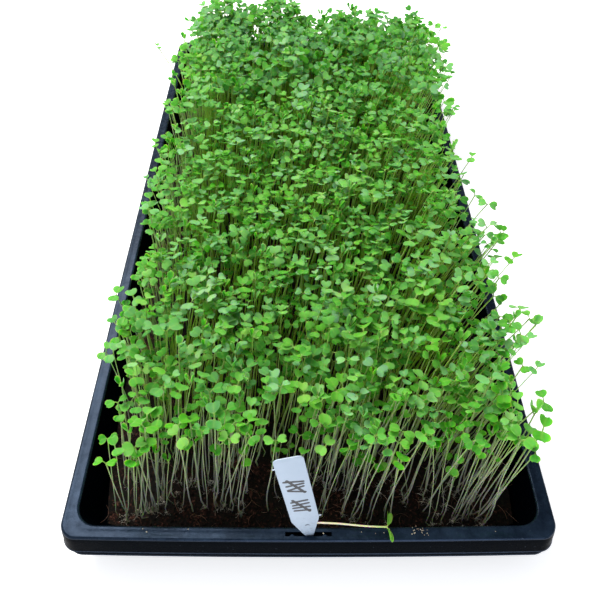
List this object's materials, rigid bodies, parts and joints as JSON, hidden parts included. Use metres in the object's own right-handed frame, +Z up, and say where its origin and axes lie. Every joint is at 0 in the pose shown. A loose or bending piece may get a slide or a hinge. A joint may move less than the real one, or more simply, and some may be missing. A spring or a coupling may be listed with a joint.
{
  "type": "microgreens tray",
  "caption": "Shallow black propagation tray nested in a drip tray, filled with coir and a dense crop of broccoli microgreens, with a blank plant label in the rim slot.",
  "frame": {"origin": "centre of the drip tray's flat underside", "axes": "+X across the tray, +Y along the tray away from the end that holds the label, +Z up"},
  "size_m": [0.3056, 0.5498, 0.1205],
  "materials": {
    "tray_plastic": "satin",
    "coir": "matte",
    "sprouts": "satin",
    "label_plastic": "satin"
  },
  "bodies": {
    "root": {"coir_bed": "coir", "drip_tray": "tray_plastic", "fallen_sprout": "sprouts", "front_sprout_1": "sprouts", "front_sprout_2": "sprouts", "front_sprout_3": "sprouts", "front_sprout_4": "sprouts", "front_sprout_5": "sprouts", "front_sprout_6": "sprouts", "front_sprout_7": "sprouts", "front_sprout_8": "sprouts", "front_sprout_9": "sprouts", "grow_tray": "tray_plastic", "left_sprout_1": "sprouts", "left_sprout_2": "sprouts", "plant_label": "label_plastic", "right_sprout_1": "sprouts", "right_sprout_2": "sprouts", "right_sprout_3": "sprouts", "right_sprout_4": "sprouts", "right_sprout_5": "sprouts", "right_sprout_6": "sprouts", "sprout_clump_r1_c1": "sprouts", "sprout_clump_r1_c2": "sprouts", "sprout_clump_r1_c3": "sprouts", "sprout_clump_r1_c4": "sprouts", "sprout_clump_r2_c1": "sprouts", "sprout_clump_r2_c2": "sprouts", "sprout_clump_r2_c3": "sprouts", "sprout_clump_r2_c4": "sprouts", "sprout_clump_r3_c1": "sprouts", "sprout_clump_r3_c2": "sprouts", "sprout_clump_r3_c3": "sprouts", "sprout_clump_r3_c4": "sprouts", "sprout_clump_r4_c1": "sprouts", "sprout_clump_r4_c2": "sprouts", "sprout_clump_r4_c3": "sprouts", "sprout_clump_r4_c4": "sprouts", "sprout_clump_r5_c1": "sprouts", "sprout_clump_r5_c2": "sprouts", "sprout_clump_r5_c3": "sprouts", "sprout_clump_r5_c4": "sprouts", "sprout_clump_r6_c1": "sprouts", "sprout_clump_r6_c2": "sprouts", "sprout_clump_r6_c3": "sprouts", "sprout_clump_r6_c4": "sprouts", "sprout_clump_r7_c1": "sprouts", "sprout_clump_r7_c2": "sprouts", "sprout_clump_r7_c3": "sprouts", "sprout_clump_r7_c4": "sprouts", "sprout_clump_r8_c1": "sprouts", "sprout_clump_r8_c2": "sprouts", "sprout_clump_r8_c3": "sprouts", "sprout_clump_r8_c4": "sprouts", "sprout_clump_r9_c1": "sprouts", "sprout_clump_r9_c2": "sprouts", "sprout_clump_r9_c3": "sprouts", "sprout_clump_r9_c4": "sprouts", "stray_sprout": "sprouts"}
  },
  "joints": []
}
